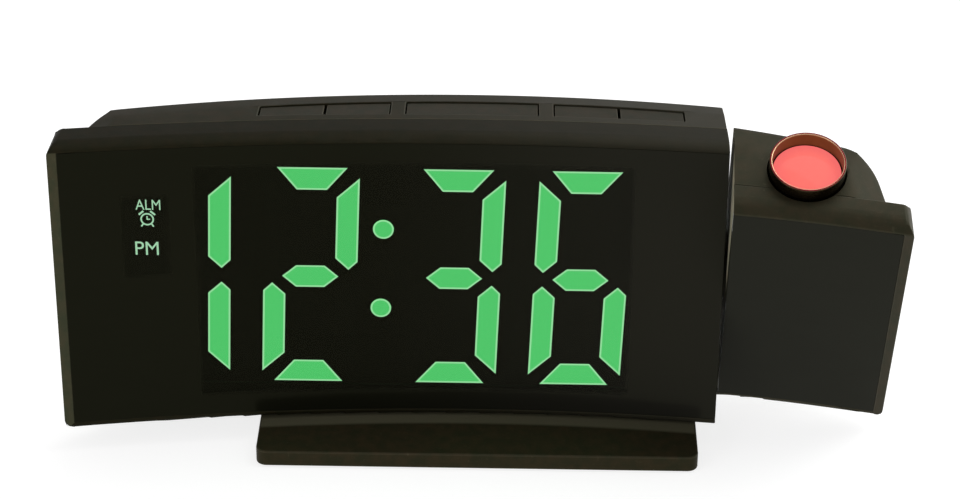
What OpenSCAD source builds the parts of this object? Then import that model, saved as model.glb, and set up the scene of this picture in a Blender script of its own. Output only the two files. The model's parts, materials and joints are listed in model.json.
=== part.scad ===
/* [Housing] */
// Overall width over the outer ends of the clock and its projector
clock_w = 197; // [190:0.5:204]
// Height of the housing from its underside to its top
housing_h = 73.2; // [71:0.1:75]
// Height of the housing's underside above the desk
housing_z = 6.5; // [6.2:0.1:8]
// Depth of the clock at its middle
housing_d = 29; // [28.4:0.1:31]
// Radius of the concave front about an upright axis
front_r = 500; // [480:5:560]
// Radius of the bowed back about an upright axis
rear_r = 300; // [280:1:330]
// Wall thickness of the mouldings
wall = 1.6; // [1.4:0.1:1.8]
// Depth of the clock's front frame
frame_d = 10.6; // [10.4:0.1:11]
// Depth of the projector's front frame
cap_frame_d = 7.6; // [7:0.1:7.6]
// Rounding of the front frames' outer corners
corner_r = 2.5; // [1.5:0.1:4]
// Depth over which the top of the front frame curves down to the window
brow_d = 4.4; // [3.5:0.1:5]
// Height of the plain lip above the window
lip_h = 0.3; // [0.2:0.05:0.5]
// Rounding of the front frame's lower front edge
toe_r = 0.8; // [0.4:0.1:1]

/* [Back] */
// Step from a frame's outer end in to the rear housing
end_step = 4.5; // [4:0.1:5.5]
// Draft of the rear housing's outer end
end_taper = 12; // [10:0.5:14]
// Rounding between the outer end and the bowed back
back_corner_r = 16; // [13:0.5:17]
// Distance from the middle to the start of the bevel on the outer end
bevel_x = 85.5; // [85:0.5:87]
// Angle of that bevel below the top
bevel_angle = 20; // [18:1:24]
// Width of the sloping strip behind the buttons
strip_w = 7.6; // [7:0.1:7.8]
// Drop of that strip at the back
strip_drop = 0.9; // [0.6:0.05:1.1]
// Rounding of the rear edges
rear_edge_r = 2.2; // [2:0.1:2.6]
// Width of one sounder slot
slot_w = 1.2; // [0.8:0.1:1.5]
// Number of sounder slots
slot_count = 6; // [4:1:7]

/* [Window] */
// Thickness of the smoked window
window_t = 1.5; // [1.2:0.1:1.8]
// Frame showing beside the window at the outer end
rim_side = 2.3; // [2:0.1:3]
// Frame showing above the window
rim_top = 1.8; // [1.6:0.1:2.2]
// Frame showing below the window
rim_bottom = 1.5; // [1.3:0.1:1.8]
// Width of the ledge that the window is bonded to
ledge_w = 1.5; // [1.2:0.1:2]
// Thickness of that ledge
ledge_t = 1.2; // [1:0.1:1.5]

/* [Display] */
// Depth of the digit block's face behind the middle of the front
face_d = 3; // [2.9:0.05:3.2]
// Thickness of the digit block
block_t = 5.5; // [5:0.1:5.7]
// Distance of the digit block from the clock's outer end
block_inset = 14; // [13.5:0.1:14.5]
// Distance of the digit block from the pivot gap
block_margin = 19.4; // [19:0.1:21]
// Clearance of the digit block above the lower bosses
block_clear = 0.4; // [0.3:0.05:0.6]
// Clearance of the digit block below the upper bosses
block_headroom = 1.4; // [1:0.1:1.8]
// Margin of the digits inside the digit block, above and below
digit_margin = 1.3; // [1.2:0.05:2]
// Drop of the digits' centre line below the digit block's middle
digit_drop = 0.9; // [0:0.05:1]
// Width of a digit as a share of the digit block's width
digit_share = 0.182; // [0.17:0.0005:0.19]
// Width of an upright segment
upright_w = 5.3; // [4.5:0.1:5.6]
// Height of a level segment
level_h = 5.7; // [5:0.1:6.4]
// Slant of the digits
slant = 2.1; // [0:0.1:4]
// Distance between the centres of a pair of digits as a share of the digit block's width
pitch_share = 0.2455; // [0.24:0.0005:0.25]
// The same for the two digits on either side of the colon
colon_share = 0.279; // [0.275:0.0005:0.285]
// Diameter of a colon dot
dot_d = 4.9; // [4:0.1:5.5]
// Distance between the colon dots
dot_pitch = 20.8; // [18:0.1:24]
// Depth of the lit pieces in the digit block
segment_t = 2; // [1.5:0.1:2.5]
// Thickness of the circuit boards
board_t = 1.6; // [1.2:0.1:1.6]
// Distance of the display board from the pivot gap
board_margin = 15.4; // [14.6:0.1:16.4]

/* [Buttons] */
// Middle of the row of buttons from the stand's centre
button_x = -2.4; // [-3:0.1:-2]
// Width of the row of buttons as a share of the clock's width without its projector
row_share = 0.64; // [0.62:0.001:0.64]
// Width of the snooze button
snooze_w = 31; // [29:0.1:32]
// Gap between two small buttons of a pair
pair_gap = 0.6; // [0.5:0.05:0.8]
// Width of the bridge between a pair and the snooze button
bridge_w = 4; // [3.9:0.1:4.3]
// Depth of the buttons' front edge behind the front
button_d = 13.9; // [13.6:0.1:14.4]
// Clearance round a button
button_clear = 0.3; // [0.25:0.05:0.4]
// Height of the caps above the housing
button_proud = 0.4; // [0.2:0.05:0.6]
// Travel of a button
button_travel = 0.7; // [0.5:0.05:0.8]
// Thickness of a cap's retaining flange
flange_t = 1; // [0.8:0.1:1.2]
// Length of the stem under a cap
stem_h = 2.5; // [2.2:0.1:2.8]
// Radius of a stem
stem_r = 1.6; // [1.4:0.1:1.65]
// Width of a switch body
switch_w = 6.2; // [6:0.1:6.4]
// Height of a switch body
switch_h = 3.6; // [3.4:0.1:3.8]
// Height of a switch plunger above its body
plunger_h = 1.2; // [1.1:0.05:1.4]
// Radius of a switch plunger
plunger_r = 1.7; // [1.5:0.05:1.8]

/* [Pivot] */
// Gap between the clock and its projector
pivot_gap = 1.6; // [1.5:0.05:1.9]
// Width of the projector from the gap to its outer end
projector_w = 41.1; // [40.6:0.1:41.6]
// Angle between the pivot's axis and the length of the clock
pivot_angle = 3; // [1:0.5:5]
// Depth of the pivot behind the front
pivot_depth = 12.4; // [12.3:0.05:12.6]
// Height of the pivot above the middle of the housing
pivot_rise = 0.3; // [0:0.1:0.6]
// Forward tilt of the projector as it is drawn
tilt = 26; // [0:1:60]
// Radius of the hollow pivot shaft
shaft_r = 4; // [3.8:0.05:4.05]
// Radius of the wire way through the shaft
wire_way_r = 2.4; // [2:0.1:2.6]
// Running clearance of the shaft in its bush
shaft_clear = 0.06; // [0.03:0.01:0.09]
// Radius of the bush in the end wall
bush_r = 6.4; // [6:0.1:6.6]
// Radius of the bush and shaft flanges
pivot_flange_r = 8.2; // [7.8:0.1:8.4]
// Thickness of the bush flanges
bush_flange_t = 0.5; // [0.4:0.05:0.6]

/* [Projector] */
// Distance of the lens axis from the pivot gap
lens_x = 17.4; // [17.1:0.05:17.5]
// Distance of the lens axis in front of the middle of the depth
lens_ahead = 2.1; // [2:0.05:2.4]
// Height of the focus ring above the housing
ring_proud = 3.3; // [3:0.1:3.8]
// Radius of the focus ring's head
ring_r = 8.8; // [8.6:0.05:8.85]
// Wall of the focus ring's head
ring_wall = 0.65; // [0.6:0.05:0.7]
// Radius of the focus ring's spigot
spigot_r = 7.9; // [7.8:0.02:7.94]
// Running clearance of the ring in its tube and the cell in the ring
optic_clear = 0.07; // [0.04:0.01:0.09]
// Outer radius of the optics tube
tube_r = 9.1; // [9.05:0.01:9.15]
// Travel of the lens each way when it is focused
focus_travel = 1; // [0.6:0.1:1.1]
// Rise of the projection lens's dome
dome_h = 1; // [0.6:0.1:1.2]
// Height of the lamp board above the desk
lamp_board_z = 18; // [17:0.1:19]
// Side of the image slide
slide_w = 11; // [10:0.1:11.4]

/* [Battery] */
// Distance of the coin cell from the clock's outer end
cell_inset = 40.5; // [39.5:0.5:41.5]
// Radius of the coin cell
cell_r = 10; // [9.8:0.05:10.1]
// Thickness of the coin cell
cell_t = 3.2; // [3:0.1:3.3]
// Height of the coin cell's centre above the desk
cell_z = 44; // [43:0.5:46]
// Width of the battery door
door_w = 26; // [25:0.5:27]
// Height of the battery door
door_h = 34; // [33:0.5:35]
// Clearance round the battery door
door_clear = 0.3; // [0.25:0.05:0.4]

/* [Power inlet] */
// Place of the power inlet from the stand's centre
inlet_x = 24.5; // [22:0.5:25]
// Width of the inlet's body
inlet_w = 9; // [8.5:0.1:9.2]
// Length of the inlet's body
inlet_l = 12; // [11:0.1:13]
// Radius of the inlet's bore
inlet_bore_r = 2.9; // [2.8:0.05:3]
// Radius of the inlet's centre pin
inlet_pin_r = 1; // [0.9:0.05:1.1]
// Depth of the inlet's bore
inlet_bore_l = 9.5; // [9:0.1:10]

/* [Stand] */
// Distance of the stand's ends in from the pivot gap
stand_inset = 4.7; // [4:0.1:7]
// Depth of the stand
stand_d = 45; // [43:0.1:48]
// Reach of the stand in front of the clock's middle
stand_reach = 15.4; // [14:0.1:16]
// Height of the stand's front edge
stand_lip = 4.3; // [4:0.1:4.6]
// Clearance of the stand's shell above the desk
stand_lift = 0.4; // [0.3:0.05:0.5]
// Thickness of the foot pad
pad_t = 0.9; // [0.8:0.05:1.1]
// Thickness of the stand's bottom plate
plate_t = 1.5; // [1.2:0.1:1.6]

/* [Fasteners] */
// Radius of a housing screw's shank
screw_r = 1.1; // [0.9:0.05:1.2]
// Radius of a housing screw's head
screw_head_r = 2.1; // [1.9:0.05:2.2]
// Height of a screw head
screw_head_h = 1.4; // [1.2:0.1:1.6]
// Radius of a board screw's shank
small_screw_r = 0.8; // [0.7:0.05:0.85]
// Clearance round a screw
screw_clear = 0.1; // [0.08:0.01:0.15]

/* [Hidden] */

$fn = 64;
arc_fn = 360;
reach = 120;
eps = 0.01;
corner_bite = 0.05;
seat_gap = 0.3;

housing_top = housing_z + housing_h;
top_inner = housing_top - wall;
inner_z = housing_z + wall;
brow_h = rim_top - lip_h;
brow_r = (brow_d * brow_d + brow_h * brow_h) / (2 * brow_h);
front_y = stand_reach - stand_d / 2;
outer_x = clock_w / 2;
seam_x = outer_x - projector_w;
pivot_z = housing_z + housing_h / 2 + pivot_rise;
window_z0 = housing_z + rim_bottom;
window_z1 = housing_top - rim_top;
ledge_d = window_t + ledge_t;

rear_y = housing_d - rear_r;
end_x = outer_x - end_step;
end_y = -3;
side_dir = [-sin(end_taper), cos(end_taper)];
side_out = [cos(end_taper), sin(end_taper)];
corner_from = [end_x - back_corner_r / cos(end_taper), end_y - rear_y];
corner_b = corner_from * side_dir;
corner_c = corner_from * corner_from - pow(rear_r - back_corner_r, 2);
corner_mid = corner_from + (sqrt(corner_b * corner_b - corner_c) - corner_b) * side_dir;
corner_at = corner_mid + [0, rear_y];
corner_out = corner_mid / norm(corner_mid);
rear_sweep = 28;
front_sweep = 15;

boss_r = 1.8;
tube_boss_r = 3.2;
boss_inset = 2.8;
boss_z = [housing_z + wall + boss_inset, housing_top - wall - 2.6];
block_left = block_inset - outer_x;
block_right = seam_x - block_margin;
block_w = block_right - block_left;
block_z0 = boss_z[0] + boss_r + block_clear;
block_h = boss_z[1] - boss_r - block_headroom - block_z0;
left_screw_x = block_left + 4.5;
right_screw_x = seam_x - 6.2;
board_right = seam_x - board_margin;
board_screw_x = board_right - 12;
board_d = face_d + block_t;
board_back = board_d + board_t;
head_seat = board_back + 3.5;
screw_tip = 3.5;
board_z0 = boss_z[0] - boss_r + 0.4;
board_z1 = boss_z[1] + boss_r - 0.4;
board_left = block_left - 0.5;

digit_w = digit_share * block_w;
digit_h = block_h - 2 * digit_margin;
digit_z = block_z0 + block_h / 2 - digit_drop;
half_w = digit_w / 2;
half_h = digit_h / 2;
tip_in = 2.9;
mitre = 4.7;
shoulder = 3.3;
upper_tip = half_h - 2.6;
upper_shoulder = upper_tip - 5;
nose_at = 0.6;
nose_z = 1.8;
nose_in = 3;
nose_out = 2.1;
middle_reach = 0.3 * digit_w;
dot_rise = 2.2;
digit_pitch = pitch_share * block_w;
colon_pitch = colon_share * block_w;
colon_x = block_left + block_w / 2;
digit_xs = [colon_x - colon_pitch / 2 - digit_pitch, colon_x - colon_pitch / 2,
    colon_x + colon_pitch / 2, colon_x + colon_pitch / 2 + digit_pitch];
// Segments in the order top, upper right, lower right, bottom, lower left, upper left, middle
lit = [[0, 1, 1, 0, 0, 0, 0], [1, 1, 0, 1, 1, 0, 1], [1, 1, 1, 1, 0, 0, 1], [1, 0, 1, 1, 1, 1, 1]];
fitted = [[0, 1, 1, 0, 0, 0, 0], [1, 1, 1, 1, 1, 1, 1], [1, 1, 1, 1, 1, 1, 1], [1, 1, 1, 1, 1, 1, 1]];
legend_x = block_left + 6.1;
legend_w = 7;
legend_zs = [for (k = [0.32, 0.251, 0.118]) digit_z + k * digit_h];
legend_hs = [for (k = [0.053, 0.07, 0.07]) k * digit_h];
legend_t = 0.6;

flange_reach = 1.1;
flange_top = top_inner - seat_gap - strip_drop * flange_reach / strip_w;
flange_bottom = flange_top - flange_t;
plunger_top = flange_bottom - stem_h;
switch_top = plunger_top - plunger_h;
switch_bottom = switch_top - switch_h;
button_board_t = 1.2;
button_board_z = switch_bottom - button_board_t;
button_back_r = rear_r - strip_w - 0.4;
row_w = row_share * (outer_x + seam_x);
button_w = (row_w - snooze_w - 2 * bridge_w - 2 * pair_gap) / 4;
pair_x = snooze_w / 2 + bridge_w;
button_xs = [button_x - pair_x - 1.5 * button_w - pair_gap, button_x - pair_x - button_w / 2,
    button_x, button_x + pair_x + button_w / 2, button_x + pair_x + 1.5 * button_w + pair_gap];
button_ws = [button_w, button_w, snooze_w, button_w, button_w];
button_mid_d = (button_d + housing_d - strip_w) / 2;
bridge_xs = [button_x - pair_x + bridge_w / 2, button_x + pair_x - bridge_w / 2];
board_post_r = 1.65;
button_board_y = board_back + 0.75;
button_board_d = housing_d - 7.95 - button_board_y;

pivot_y = sqrt(front_r * front_r - seam_x * seam_x) - front_r;
lens_y = housing_d / 2 - lens_ahead;
clock_face = -pivot_gap / 2;
clock_end = seam_x + pivot_depth * sin(pivot_angle) + clock_face * cos(pivot_angle);
recess_r = pivot_flange_r + seat_gap;
cap_face = pivot_gap / 2;
saddle_r = bush_r + screw_clear;
saddle_t = wall + 1.6;
clock_saddle = clock_face - saddle_t;
shaft_end = cap_face + wall + 1.6;
washer_t = 0.8;
washer_x = clock_saddle - bush_flange_t - seat_gap - washer_t;
clip_x = washer_x - washer_t;
groove_depth = 0.8;
shaft_tip = clip_x - 1.4;
lead_r = 0.8;
lead_bend = 1.6;
lead_drop_x = 5.4;
connector_over = 1.5;
lead_gap = 0.1;

ring_top = housing_top + ring_proud;
ring_shoulder = top_inner - 1.5;
ring_floor = ring_shoulder + 0.6;
guide_top = ring_shoulder - seat_gap;
guide_bottom = guide_top - 13.2;
lip_t = 0.9;
ring_bottom = guide_bottom - seat_gap - lip_t;
ring_lip_r = spigot_r + 0.4;
spigot_bore = spigot_r - 1;
cell_out_r = spigot_bore - optic_clear;
cell_in_r = cell_out_r - 0.8;
lens_r = ring_r - ring_wall - 0.3;
lens_z = ring_floor + seat_gap + focus_travel + 0.5;
lens_edge = 0.4;
upper_bore = tube_r - 0.6;
lower_bore = upper_bore - 0.8;
stop_r = 6.2;
lamp_top = lamp_board_z + board_t;
cell_bottom = ring_bottom - 8.8;
slide_t = 1.1;
slide_z = cell_bottom - focus_travel - seat_gap - 5.4 - slide_t;
stop_t = 6.2;
stop_z = slide_z - stop_t;
lug_h = 3;
lug_w = 3;
lug_r = tube_r - 0.2;
condenser_r = lower_bore - 0.1;
cap_screw_x = projector_w - 12.1;
cap_screws = [[cap_screw_x, housing_top - 5.6], [cap_screw_x, housing_z + 6], [6.5, housing_z + 6]];
cap_boss_r = 2.4;
cap_boss_d = 9;
cap_seat = cap_boss_d + 3;
lamp_posts = [[lens_x - 5, lens_y + 4.2], [lens_x + 5, lens_y + 4.2], [lens_x, lens_y - 3]];
lamp_board_l = lens_x + 7;
lamp_board_d = housing_d - 15;

cell_x = cell_inset - outer_x;
cell_a = asin(cell_x / rear_r);
door_z = cell_z - 3;
door_seat = rear_r - wall - 0.7;
cell_back = door_seat - 0.4 - cell_t;
pocket_floor = cell_back - 0.8;
pocket_r = cell_r + 0.3;
tray_wall = 1.5;
tray_floor = pocket_floor - 1;
door_screw_z = door_z - door_h / 2 + 3.6;
door_screw_head_r = 2;
door_screw_head_h = 0.9;
door_screw_l = 5;

sounder_x = cell_x + 28;
sounder_z = 26;
sounder_r = 6;
sounder_h = 5.5;
slot_pitch = 2.4;
slot_l = 13;

inlet_z = housing_z + wall + inlet_w / 2;
inlet_front = housing_d - wall - pow(inlet_x + inlet_w / 2, 2) / (2 * rear_r) - seat_gap;
inlet_floor = inlet_front - inlet_bore_l;

stand_w = 2 * (seam_x - stand_inset);
stand_back = stand_d - stand_reach;
stand_crown = [3, stand_back - 6.4];
stand_screw_x = stand_w / 3;
chip_side = 12;
chip_z = digit_z - chip_side / 2;
stand_screw_y = 14;
stand_boss_h = 5;
plate_clear = 0.2;
plate_top = pad_t + plate_t;
post_r = 2;
pad_inset = 5;

// ---- places and shared shapes ----

// Stands the clock with the middle of its stand over the origin
module standing() translate([0, front_y, 0]) children();

// Frame of the pivot: x along its axis, y into the depth, z up, with the front at y = 0
module at_pivot() translate([seam_x, pivot_y, 0]) rotate([0, 0, -pivot_angle]) children();

module from_pivot() rotate([0, 0, pivot_angle]) translate([-seam_x, -pivot_y, 0]) children();

// Tilts the projector about its pivot
module tilted() at_pivot() translate([0, pivot_depth, pivot_z]) rotate([tilt, 0, 0])
    translate([0, -pivot_depth, -pivot_z]) from_pivot() children();

module at_axis(x) at_pivot() translate([x, pivot_depth, pivot_z]) rotate([0, 90, 0]) children();

module at_lens(z) at_pivot() translate([lens_x, lens_y, z]) children();

// Front surface of the projector in the frame of the pivot
function cap_front(x) = sqrt(front_r * front_r - (seam_x + x) * (seam_x + x)) - front_r - pivot_y
    + x * sin(pivot_angle);

module at_cap_screw(s) at_pivot() translate([s[0], cap_front(s[0]), s[1]]) children();

module at_back(a, z) translate([0, rear_y, z]) rotate([0, 0, -a]) children();

// Disc with its axis along the depth, from y0 to y1
module plug(r, y0, y1) translate([0, y0, 0]) rotate([-90, 0, 0]) cylinder(r = r, h = y1 - y0);

module ring(r_in, r_out, h) difference() {
    cylinder(r = r_out, h = h);
    translate([0, 0, -1]) cylinder(r = r_in, h = h + 2);
}

// Turns a section of depth against height round the front's axis
module front_turn() translate([0, -front_r, 0]) rotate([0, 0, 90 - front_sweep])
    rotate_extrude(angle = 2 * front_sweep, $fn = arc_fn) translate([front_r, 0]) children();

module rear_turn() translate([0, rear_y, 0]) rotate([0, 0, 90 - rear_sweep])
    rotate_extrude(angle = 2 * rear_sweep, $fn = arc_fn) children();

// Fall of the strip behind the buttons at distance d inside the back
function strip_fall(d) = strip_drop * (strip_w - d) / strip_w;

module front_slab(d0, d1, z0, z1) front_turn() translate([d0, z0]) square([d1 - d0, z1 - z0]);

// Everything nearer to the front than depth d
module before(d) translate([0, -front_r, -1]) cylinder(r = front_r + d, h = reach, $fn = arc_fn);

// Everything on the clock's side of the pivot, drawn in from its end face
module clock_side(inset)
    translate([clock_end - inset - 3 * reach, -reach, -1]) cube([3 * reach, 2 * reach, reach]);

module cap_side(inset) at_pivot()
    translate([cap_face + inset, -reach, -1]) cube([reach, 2 * reach, reach]);

// Everything up to x, rounded at the corners where x meets the heights z0 and z1
module end_outline(x, z0, z1, r) rotate([90, 0, 0])
    linear_extrude(height = 2 * reach, center = true) {
        translate([-reach, 0]) square([reach + x - r, reach]);
        translate([-reach, z0 + r - corner_bite])
            square([reach + x, z1 - z0 - 2 * (r - corner_bite)]);
        for (z = [z0 + r - corner_bite, z1 - r + corner_bite]) translate([x - r, z]) circle(r);
    }

module frame_section(d) intersection() {
    translate([0, housing_z]) square([d, housing_h]);
    union() {
        translate([0, housing_z + toe_r]) square([d, housing_h - toe_r - brow_r]);
        translate([toe_r, housing_z]) square([d - toe_r, housing_h - brow_r]);
        translate([brow_d, housing_z]) square([d - brow_d, housing_h]);
        translate([brow_d, housing_top - brow_r]) circle(brow_r);
        translate([toe_r, housing_z + toe_r]) circle(toe_r);
    }
}

module cavity_part(d0, d1, x, z0, z1) intersection() {
    front_slab(d0, d1, z0, z1);
    end_outline(x, z0, z1, corner_r - wall / 2);
}

// Inside of a front frame of depth d with its outer end at +x: the opening behind the window,
// the space inside, and the narrower mouth that leaves a flange across the back of the outer end
module frame_cavity(d) {
    cavity_part(window_t - eps, ledge_d + eps, outer_x - rim_side - ledge_w,
        window_z0 + ledge_w, window_z1 - ledge_w);
    cavity_part(ledge_d, d - wall, outer_x - wall, inner_z, top_inner);
    cavity_part(d - wall - eps, d + 1, bevel_x + wall, inner_z, top_inner);
}

// Section of the back: radius against height, rounded at the rear edges
module rear_section() {
    x = rear_r - rear_edge_r;
    z0 = housing_z + rear_edge_r;
    z1 = housing_top - rear_edge_r - strip_fall(rear_edge_r);
    polygon([[rear_r - 2 * housing_d, housing_z], [x, housing_z], [x, z0], [rear_r, z0],
        [rear_r, z1], [x, z1], [x, z1 + rear_edge_r], [rear_r - strip_w, housing_top],
        [rear_r - 2 * housing_d, housing_top]]);
    for (z = [z0, z1]) translate([x, z]) circle(rear_edge_r);
}

// The same drawn in by the inset, with square edges
module rear_inner_section(inset) polygon([[rear_r - 2 * housing_d, housing_z + inset],
    [rear_r - inset, housing_z + inset],
    [rear_r - inset, housing_top - inset - strip_fall(inset)],
    [rear_r - strip_w, housing_top - inset], [rear_r - 2 * housing_d, housing_top - inset]]);

// Plan of a rear housing with its tapered outer end at +x, drawn in by the inset
module rear_plan(inset) {
    tangent = corner_at + (back_corner_r - inset) * side_out;
    back = corner_at + (back_corner_r - inset) * corner_out;
    linear_extrude(height = reach) {
        polygon([[-reach, -reach], [tangent[0] + (tangent[1] + reach) * tan(end_taper), -reach],
            tangent, corner_at, back, [back[0], reach], [-reach, reach]]);
        translate(corner_at) circle(back_corner_r - inset);
    }
}

// Elevation of a rear housing with its bevels at the outer end, drawn in by the inset
module rear_elevation(inset) {
    x = bevel_x - inset * tan(bevel_angle / 2);
    run = outer_x - bevel_x + 5;
    fall = run * tan(bevel_angle);
    z0 = housing_z + inset;
    z1 = housing_top - inset;
    rotate([90, 0, 0]) linear_extrude(height = 2 * reach, center = true)
        polygon([[-reach, z0], [x, z0], [x + run, z0 + fall], [x + run, z1 - fall], [x, z1],
            [-reach, z1]]);
}

module rear_form(inset) intersection() {
    rear_turn() if (inset > 0) rear_inner_section(inset); else rear_section();
    rear_plan(inset);
    rear_elevation(inset);
}

module clock_rear_form(inset) mirror([1, 0, 0]) rear_form(inset);

// Post from a front frame's ledge to depth y1, carried by a web from the nearer wall
module frame_boss(x, z, y1) {
    up = z > housing_z + housing_h / 2;
    y0 = sqrt(front_r * front_r - x * x) - front_r + window_t + 0.5;
    translate([x, 0, z]) plug(boss_r, y0, y1);
    intersection() {
        translate([x - boss_r / 2, -reach, up ? z : housing_z + wall / 2])
            cube([boss_r, reach + y1, (up ? housing_top - z : z - housing_z) - wall / 2]);
        front_slab(window_t + 0.5, frame_d, housing_z, housing_top);
    }
}

module countersunk_screw(x, z, seat, tip, head_r, shank_r) translate([x, 0, z]) {
    plug(shank_r, tip, seat);
    plug(head_r, seat, seat + screw_head_h);
}

// ---- clock ----

module front_frame() color("#2e2b24") standing() difference() {
    union() {
        difference() {
            intersection() {
                front_turn() frame_section(frame_d);
                mirror([1, 0, 0]) end_outline(outer_x, housing_z, housing_top, corner_r);
                clock_side(0);
            }
            intersection() {
                mirror([1, 0, 0]) frame_cavity(frame_d);
                clock_side(wall);
            }
            intersection() {
                front_slab(-1, window_t, window_z0, window_z1);
                translate([rim_side - outer_x, -reach, 0]) cube([3 * reach, 2 * reach, reach]);
            }
        }
        for (x = [left_screw_x, right_screw_x, board_screw_x], z = boss_z)
            frame_boss(x, z, board_d);
        intersection() {
            at_axis(clock_saddle) cylinder(r = pivot_flange_r + 1, h = saddle_t);
            front_slab(ledge_d, frame_d, housing_z, housing_top);
        }
    }
    at_axis(clock_saddle - 1) cylinder(r = saddle_r, h = saddle_t + 2);
    at_axis(clock_face) cylinder(r = recess_r, h = 2);
    for (x = [left_screw_x, right_screw_x], z = boss_z)
        translate([x, 0, z]) plug(screw_r + screw_clear / 2, screw_tip - 0.4, board_d + 1);
    for (z = boss_z)
        translate([board_screw_x, 0, z]) plug(small_screw_r + screw_clear / 2, screw_tip, board_d + 1);
}

module display_window() color("#15150f") standing() intersection() {
    front_slab(0, window_t, window_z0, window_z1);
    translate([rim_side - outer_x, -reach, 0]) cube([3 * reach, 2 * reach, reach]);
    clock_side(0);
}

// Plan of the space for buttons from x0 to x1, grown by the clearance
module button_plan(x0, x1, grow, deeper) intersection() {
    translate([x0 - grow, 0]) square([x1 - x0 + 2 * grow, reach]);
    difference() {
        translate([0, rear_y]) circle(button_back_r + grow + deeper, $fn = arc_fn);
        translate([0, -front_r]) circle(front_r + button_d - grow - deeper, $fn = arc_fn);
    }
}

module button_openings() {
    edges = [[button_xs[0] - button_w / 2, button_xs[1] + button_w / 2],
        [button_x - snooze_w / 2, button_x + snooze_w / 2],
        [button_xs[3] - button_w / 2, button_xs[4] + button_w / 2]];
    for (e = edges) translate([0, 0, top_inner - 1]) linear_extrude(height = wall + 2)
        button_plan(e[0], e[1], button_clear, 0);
}

// Outline of the battery door seen square on, rounded and grown
module door_outline(grow) {
    w = door_w / 2 + grow;
    h = door_h / 2 + grow;
    r = 2 + grow;
    square([2 * w, 2 * (h - r)], center = true);
    square([2 * (w - r), 2 * h], center = true);
    for (x = [-1, 1], z = [-1, 1]) translate([x * (w - r), z * (h - r)]) circle(r);
}

// Prism through the back over the battery, square to it, from radius r0 to r1
module door_prism(grow, r0, r1) at_back(cell_a, door_z) translate([0, r1, 0]) rotate([90, 0, 0])
    linear_extrude(height = r1 - r0) door_outline(grow);

module battery_tray() intersection() {
    door_prism(tray_wall + door_clear, tray_floor, rear_r);
    clock_rear_form(wall / 2);
}

module battery_cuts() {
    door_prism(door_clear, door_seat, rear_r + 5);
    at_back(cell_a, cell_z) plug(pocket_r, pocket_floor, rear_r);
    at_back(cell_a, cell_z) translate([-3.3, pocket_floor, cell_r - 2])
        cube([6.6, rear_r - pocket_floor, 2.6]);
    at_back(cell_a, door_screw_z) plug(small_screw_r + screw_clear, door_seat - door_screw_l, rear_r);
}

module sounder_slots() for (i = [0 : slot_count - 1])
    translate([sounder_x - slot_l / 2, housing_d / 2, sounder_z + (i - (slot_count - 1) / 2) * slot_pitch])
        cube([slot_l, housing_d, slot_w]);

module rear_housing() color("#332f27") standing() difference() {
    union() {
        difference() {
            intersection() {
                clock_rear_form(0);
                clock_side(0);
            }
            intersection() {
                clock_rear_form(wall);
                clock_side(wall);
            }
        }
        intersection() {
            clock_rear_form(wall / 2);
            clock_side(wall / 2);
            union() {
                for (z = boss_z) {
                    translate([left_screw_x, 0, z]) plug(tube_boss_r, board_back, housing_d);
                    translate([right_screw_x, 0, z]) plug(tube_boss_r, board_d, housing_d);
                }
                for (x = [-1, 1]) translate([x * stand_screw_x, stand_screw_y, housing_z])
                    cylinder(r = tube_boss_r, h = wall + stand_boss_h);
                for (x = bridge_xs) translate([x, button_mid_d, switch_bottom])
                    cylinder(r = board_post_r, h = housing_top - switch_bottom);
                at_axis(clock_saddle) cylinder(r = pivot_flange_r + 1, h = saddle_t);
            }
        }
        battery_tray();
    }
    before(frame_d);
    button_openings();
    battery_cuts();
    sounder_slots();
    at_axis(clock_saddle - 1) cylinder(r = saddle_r, h = saddle_t + 2);
    at_axis(clock_face) cylinder(r = recess_r, h = 2);
    translate([inlet_x, 0, inlet_z]) plug(inlet_bore_r + 1, housing_d - 6, housing_d + 1);
    for (x = [left_screw_x, right_screw_x], z = boss_z) translate([x, 0, z]) {
        plug(screw_r + screw_clear, board_d - 1, housing_d);
        plug(screw_head_r + 2 * screw_clear, head_seat, housing_d + 1);
    }
    for (x = [-1, 1]) translate([x * stand_screw_x, stand_screw_y, housing_z - 1])
        cylinder(r = screw_r + screw_clear / 2, h = stand_boss_h + 1);
    for (x = bridge_xs) translate([x, button_mid_d, switch_bottom - 1])
        cylinder(r = small_screw_r + screw_clear / 2, h = 5);
}

module housing_screws() color("silver") standing()
    for (x = [left_screw_x, right_screw_x], z = boss_z)
        countersunk_screw(x, z, head_seat, screw_tip, screw_head_r, screw_r);

function side(s, pts) = [for (p = pts) [s * p[0], p[1]]];
function turned(s, pts) = [for (p = pts) [p[0], s * p[1]]];

top_pts = [[-(half_w - tip_in), half_h], [-(half_w - tip_in - mitre), half_h - level_h],
    [half_w - tip_in - mitre, half_h - level_h], [half_w - tip_in, half_h]];
upright_pts = [[half_w, upper_tip], [half_w - upright_w, upper_shoulder],
    [half_w - upright_w, nose_z + nose_in], [half_w - upright_w * (1 - nose_at), nose_z],
    [half_w, nose_z + nose_out]];
middle_pts = [[-middle_reach, 0], [shoulder - middle_reach, level_h / 2],
    [middle_reach - shoulder, level_h / 2], [middle_reach, 0],
    [middle_reach - shoulder, -level_h / 2], [shoulder - middle_reach, -level_h / 2]];
segments = [top_pts, upright_pts, turned(-1, upright_pts), turned(-1, top_pts),
    turned(-1, side(-1, upright_pts)), side(-1, upright_pts), middle_pts];

module segment(digit, i, depth) translate([digit_xs[digit], face_d + depth, digit_z])
    rotate([90, 0, 0]) linear_extrude(height = depth)
        polygon([for (p = segments[i]) [p[0] + p[1] * tan(slant), p[1]]]);

module digit_segments(want, depth) for (d = [0 : 3], i = [0 : 6])
    if (want[d][i] == 1) segment(d, i, depth);

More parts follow.
